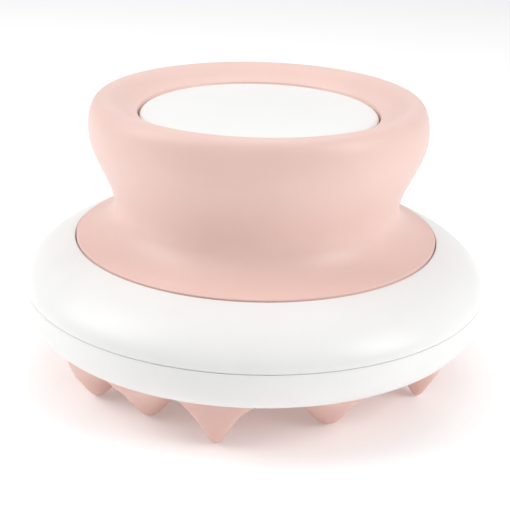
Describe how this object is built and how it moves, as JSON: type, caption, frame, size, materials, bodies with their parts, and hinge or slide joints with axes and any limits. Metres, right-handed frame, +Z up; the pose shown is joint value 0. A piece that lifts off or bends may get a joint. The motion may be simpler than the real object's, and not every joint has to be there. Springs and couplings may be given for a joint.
{
  "type": "handheld scalp massager",
  "caption": "Palm-held scalp massager: wide white round body, soft pink hourglass grip with a push button in its top, and a silicone pad of tapered tines below.",
  "frame": {"origin": "on the vertical axis of the body, level with the tine tips that it stands on", "axes": "+Z up along the body's axis, through the middle of the button; +Y towards the charging port at the rear; +X to the right seen from the front"},
  "size_m": [0.11, 0.11, 0.0656],
  "materials": {
    "white_shell": "smooth satin-gloss moulded ABS",
    "button_white": "smooth satin moulded ABS",
    "soft_grip": "soft-touch satin, light pink",
    "silicone": "moulded silicone, rose pink, satin",
    "port_rubber": "white silicone, matte",
    "dark_rubber": "matte",
    "nylon": "plain moulded",
    "steel": "zinc plated",
    "motor_steel": "drawn steel",
    "dense_alloy": "sintered heavy alloy",
    "circuit_board": "green solder mask",
    "black_plastic": "plain moulded",
    "cell_wrap": "heat-shrink film",
    "wire_red": "insulated lead"
  },
  "bodies": {
    "body": {"tine_pad": "silicone", "pad_retainer": "nylon", "pad_screw_1": "steel", "pad_screw_2": "steel", "pad_screw_3": "steel", "pad_screw_4": "steel", "lower_housing": "white_shell", "housing_seal": "dark_rubber", "upper_housing": "white_shell", "housing_screw_1": "steel", "housing_screw_2": "steel", "housing_screw_3": "steel", "housing_screw_4": "steel", "grip_core": "nylon", "core_screw_1": "steel", "core_screw_2": "steel", "core_screw_3": "steel", "core_screw_4": "steel", "grip_sleeve": "soft_grip", "button_guide": "nylon", "guide_screw_1": "steel", "guide_screw_2": "steel", "guide_screw_3": "steel", "button_stop_ring": "dark_rubber", "button_spring": "steel", "control_board": "circuit_board", "board_screw_1": "steel", "board_screw_2": "steel", "board_screw_3": "steel", "tact_switch": "black_plastic", "battery_cell": "cell_wrap", "battery_tray": "nylon", "tray_screw_1": "steel", "tray_screw_2": "steel", "tray_screw_3": "steel", "tray_screw_4": "steel", "battery_strap": "nylon", "motor_can": "motor_steel", "motor_end_cap": "black_plastic", "motor_cradle": "nylon", "motor_clamp": "nylon", "clamp_screw_1": "steel", "clamp_screw_2": "steel", "charging_port": "motor_steel", "charge_board": "circuit_board", "charge_board_screw_1": "steel", "charge_board_screw_2": "steel", "motor_lead": "wire_red", "battery_lead": "wire_red", "charge_lead": "wire_red"},
    "button": {"button_cap": "button_white"},
    "rotor": {"motor_shaft": "steel", "eccentric_weight": "dense_alloy"},
    "plug": {"port_plug": "port_rubber"}
  },
  "joints": [
    {"name": "button_press", "type": "slide", "parent": "body", "child": "button", "axis": [0, 0, -1], "range_m": [0, 0.0012], "stiffness_N_per_m": 900, "springref_m": -0.0015, "deforming": ["button_spring"]},
    {"name": "rotor_spin", "type": "hinge", "parent": "body", "child": "rotor", "pos_m": [0.008, 0, 0.0243], "axis": [1, 0, 0], "continuous": true},
    {"name": "plug_pull", "type": "slide", "parent": "body", "child": "plug", "axis": [0, 1, 0], "range_m": [0, 0.01]}
  ]
}
